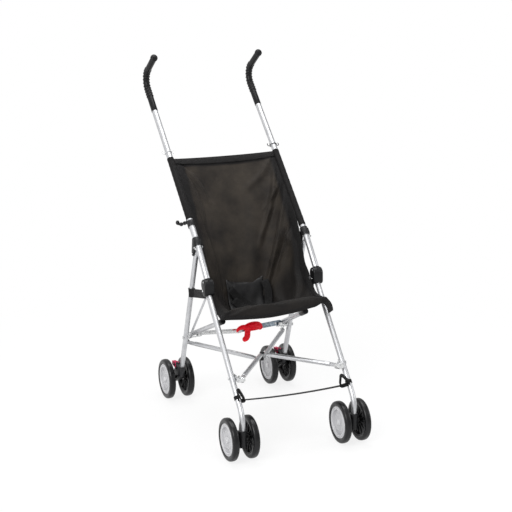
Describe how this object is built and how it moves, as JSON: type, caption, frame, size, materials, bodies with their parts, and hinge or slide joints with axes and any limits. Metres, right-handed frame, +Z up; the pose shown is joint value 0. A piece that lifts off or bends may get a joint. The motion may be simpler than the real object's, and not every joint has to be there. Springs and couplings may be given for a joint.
{
  "type": "umbrella stroller",
  "caption": "Lightweight folding umbrella stroller: curved grip handles, sling seat, double swivel front wheels, braked rear wheels and a folding cross brace under the seat.",
  "frame": {"origin": "on the floor at the middle of the outline", "axes": "+Z up, front of the stroller towards -Y, left side towards -X"},
  "size_m": [0.43, 0.8406, 1.0406],
  "materials": {
    "steel_tube": "satin silver paint on steel tube",
    "zinc_plate": "bright zinc plated steel",
    "grip": "matte black soft grip",
    "black_plastic": "moulded black plastic",
    "tyre": "smooth black foam tyre",
    "wheel_rim": "light grey moulded plastic",
    "red_plastic": "red moulded plastic",
    "seat_cloth": "thin black woven nylon",
    "webbing": "black woven webbing"
  },
  "bodies": {
    "left_frame": {"handle_tube_left": "steel_tube", "grip_left": "grip", "upper_bracket_left": "black_plastic", "connector_block_left": "black_plastic", "front_leg_left": "steel_tube", "front_bracket_left": "zinc_plate", "storage_hook": "black_plastic", "seat_sling": "seat_cloth", "crotch_strap": "webbing", "footrest_strap": "webbing", "footrest_loop_left": "webbing"},
    "right_frame": {"handle_tube_right": "steel_tube", "grip_right": "grip", "upper_bracket_right": "black_plastic", "connector_block_right": "black_plastic", "front_leg_right": "steel_tube", "front_bracket_right": "zinc_plate", "footrest_loop_right": "webbing"},
    "rear_leg_left": {"rear_leg_left": "steel_tube", "rear_bracket_left": "zinc_plate", "rear_housing_left": "black_plastic", "limit_strap_left": "webbing"},
    "stay_left": {"side_stay_left": "zinc_plate"},
    "seat_rail_left": {"seat_rail_left": "steel_tube"},
    "front_brace_left": {"front_brace_left": "steel_tube", "brace_pin": "black_plastic"},
    "rear_brace_left": {"rear_brace_left": "steel_tube"},
    "caster_left": {"caster_housing_left": "black_plastic"},
    "brake_left": {"brake_lever_left": "red_plastic"},
    "front_wheel_left_outer": {"front_tyre_left_outer": "tyre", "front_rim_left_outer": "wheel_rim"},
    "front_wheel_left_inner": {"front_tyre_left_inner": "tyre", "front_rim_left_inner": "wheel_rim"},
    "rear_wheel_left_outer": {"rear_tyre_left_outer": "tyre", "rear_rim_left_outer": "wheel_rim"},
    "rear_wheel_left_inner": {"rear_tyre_left_inner": "tyre", "rear_rim_left_inner": "wheel_rim"},
    "rear_leg_right": {"rear_leg_right": "steel_tube", "rear_bracket_right": "zinc_plate", "rear_housing_right": "black_plastic", "limit_strap_right": "webbing"},
    "stay_right": {"side_stay_right": "zinc_plate"},
    "seat_rail_right": {"seat_rail_right": "steel_tube"},
    "front_brace_right": {"front_brace_right": "steel_tube"},
    "rear_brace_right": {"rear_brace_right": "steel_tube"},
    "caster_right": {"caster_housing_right": "black_plastic"},
    "brake_right": {"brake_lever_right": "red_plastic"},
    "front_wheel_right_outer": {"front_tyre_right_outer": "tyre", "front_rim_right_outer": "wheel_rim"},
    "front_wheel_right_inner": {"front_tyre_right_inner": "tyre", "front_rim_right_inner": "wheel_rim"},
    "rear_wheel_right_outer": {"rear_tyre_right_outer": "tyre", "rear_rim_right_outer": "wheel_rim"},
    "rear_wheel_right_inner": {"rear_tyre_right_inner": "tyre", "rear_rim_right_inner": "wheel_rim"},
    "lock_link_left": {"lock_link_left": "zinc_plate"},
    "lock_link_right": {"lock_link_right": "zinc_plate"},
    "latch": {"release_latch": "red_plastic"}
  },
  "joints": [
    {"name": "fold", "type": "hinge", "parent": "left_frame", "child": "rear_leg_left", "pos_m": [-0.171, -0.02454, 0.5085], "axis": [-1, 0, 0], "range_deg": [0, 47], "deforming": ["seat_sling", "crotch_strap", "footrest_strap", "limit_strap_left", "limit_strap_right"]},
    {"name": "lock_bar_left_end", "type": "hinge", "parent": "rear_leg_left", "child": "lock_link_left", "pos_m": [-0.132, 0.06396, 0.231], "axis": [0, -1, 0], "range_deg": [0, 83.23]},
    {"name": "lock_bar_middle", "type": "hinge", "parent": "lock_link_left", "child": "lock_link_right", "pos_m": [0, 0.06396, 0.2215], "axis": [0, 1, 0], "range_deg": [0, 166.46]},
    {"name": "lock_bar_right_end", "type": "hinge", "parent": "lock_link_right", "child": "rear_leg_right", "pos_m": [0.132, 0.06396, 0.231], "axis": [0, -1, 0], "range_deg": [0, 83.23]},
    {"name": "fold_right_side", "type": "hinge", "parent": "rear_leg_right", "child": "right_frame", "pos_m": [0.171, -0.02454, 0.5085], "axis": [1, 0, 0], "range_deg": [0, 47]},
    {"name": "rail_left_turn", "type": "hinge", "parent": "rear_leg_left", "child": "seat_rail_left", "pos_m": [-0.147, 0.08596, 0.224], "axis": [-1, 0, 0], "range_deg": [0, 45.8]},
    {"name": "stay_left_turn", "type": "hinge", "parent": "rear_leg_left", "child": "stay_left", "pos_m": [-0.1585, 0.07196, 0.22], "axis": [-1, 0, 0], "range_deg": [0, 7.5]},
    {"name": "front_brace_left_turn", "type": "hinge", "parent": "left_frame", "child": "front_brace_left", "pos_m": [-0.148, -0.31804, 0.2185], "axis": [0.7723, -0.635, 0.0146], "range_deg": [0, 74.26]},
    {"name": "rear_brace_left_turn", "type": "hinge", "parent": "rear_leg_left", "child": "rear_brace_left", "pos_m": [-0.156, 0.09146, 0.197], "axis": [0.1593, -0.9872, -0.004], "range_deg": [0, 86.93]},
    {"name": "caster_left_swivel", "type": "hinge", "parent": "left_frame", "child": "caster_left", "pos_m": [-0.171, -0.38454, 0.0612], "axis": [0, 0, 1], "continuous": true},
    {"name": "brake_left_press", "type": "hinge", "parent": "rear_leg_left", "child": "brake_left", "pos_m": [-0.171, 0.14446, 0.112], "axis": [-1, 0, 0], "range_deg": [0, 16]},
    {"name": "front_wheel_left_outer_spin", "type": "hinge", "parent": "caster_left", "child": "front_wheel_left_outer", "pos_m": [-0.2015, -0.35914, 0.0612], "axis": [1, 0, 0], "continuous": true},
    {"name": "front_wheel_left_inner_spin", "type": "hinge", "parent": "caster_left", "child": "front_wheel_left_inner", "pos_m": [-0.1405, -0.35914, 0.0612], "axis": [1, 0, 0], "continuous": true},
    {"name": "rear_wheel_left_outer_spin", "type": "hinge", "parent": "rear_leg_left", "child": "rear_wheel_left_outer", "pos_m": [-0.2015, 0.16236, 0.0612], "axis": [1, 0, 0], "continuous": true},
    {"name": "rear_wheel_left_inner_spin", "type": "hinge", "parent": "rear_leg_left", "child": "rear_wheel_left_inner", "pos_m": [-0.1405, 0.16236, 0.0612], "axis": [1, 0, 0], "continuous": true},
    {"name": "rail_right_turn", "type": "hinge", "parent": "rear_leg_right", "child": "seat_rail_right", "pos_m": [0.147, 0.08596, 0.224], "axis": [-1, 0, 0], "range_deg": [0, 45.8]},
    {"name": "stay_right_turn", "type": "hinge", "parent": "rear_leg_right", "child": "stay_right", "pos_m": [0.1585, 0.07196, 0.22], "axis": [-1, 0, 0], "range_deg": [0, 7.5]},
    {"name": "front_brace_right_turn", "type": "hinge", "parent": "right_frame", "child": "front_brace_right", "pos_m": [0.148, -0.31804, 0.2185], "axis": [0.7723, 0.635, -0.0146], "range_deg": [0, 74.26]},
    {"name": "rear_brace_right_turn", "type": "hinge", "parent": "rear_leg_right", "child": "rear_brace_right", "pos_m": [0.156, 0.09146, 0.197], "axis": [0.1593, 0.9872, 0.004], "range_deg": [0, 86.93]},
    {"name": "caster_right_swivel", "type": "hinge", "parent": "right_frame", "child": "caster_right", "pos_m": [0.171, -0.38454, 0.0612], "axis": [0, 0, 1], "continuous": true},
    {"name": "brake_right_press", "type": "hinge", "parent": "rear_leg_right", "child": "brake_right", "pos_m": [0.171, 0.14446, 0.112], "axis": [-1, 0, 0], "range_deg": [0, 16]},
    {"name": "front_wheel_right_outer_spin", "type": "hinge", "parent": "caster_right", "child": "front_wheel_right_outer", "pos_m": [0.2015, -0.35914, 0.0612], "axis": [1, 0, 0], "continuous": true},
    {"name": "front_wheel_right_inner_spin", "type": "hinge", "parent": "caster_right", "child": "front_wheel_right_inner", "pos_m": [0.1405, -0.35914, 0.0612], "axis": [1, 0, 0], "continuous": true},
    {"name": "rear_wheel_right_outer_spin", "type": "hinge", "parent": "rear_leg_right", "child": "rear_wheel_right_outer", "pos_m": [0.2015, 0.16236, 0.0612], "axis": [1, 0, 0], "continuous": true},
    {"name": "rear_wheel_right_inner_spin", "type": "hinge", "parent": "rear_leg_right", "child": "rear_wheel_right_inner", "pos_m": [0.1405, 0.16236, 0.0612], "axis": [1, 0, 0], "continuous": true},
    {"name": "latch_press", "type": "hinge", "parent": "lock_link_right", "child": "latch", "pos_m": [0.062, 0.06396, 0.2259], "axis": [0, 1, 0], "range_deg": [0, 6]}
  ],
  "couplings": [
    {"joint": "lock_bar_left_end", "follows": "fold", "ratio": 1.7708},
    {"joint": "lock_bar_middle", "follows": "fold", "ratio": 3.5416},
    {"joint": "lock_bar_right_end", "follows": "fold", "ratio": 1.7708},
    {"joint": "fold_right_side", "follows": "fold", "ratio": 1},
    {"joint": "rail_left_turn", "follows": "fold", "ratio": 0.97447},
    {"joint": "stay_left_turn", "follows": "fold", "ratio": 0.15957},
    {"joint": "front_brace_left_turn", "follows": "fold", "ratio": 1.5799},
    {"joint": "rear_brace_left_turn", "follows": "fold", "ratio": 1.8496},
    {"joint": "rail_right_turn", "follows": "fold", "ratio": 0.97447},
    {"joint": "stay_right_turn", "follows": "fold", "ratio": 0.15957},
    {"joint": "front_brace_right_turn", "follows": "fold", "ratio": 1.5799},
    {"joint": "rear_brace_right_turn", "follows": "fold", "ratio": 1.8496}
  ]
}
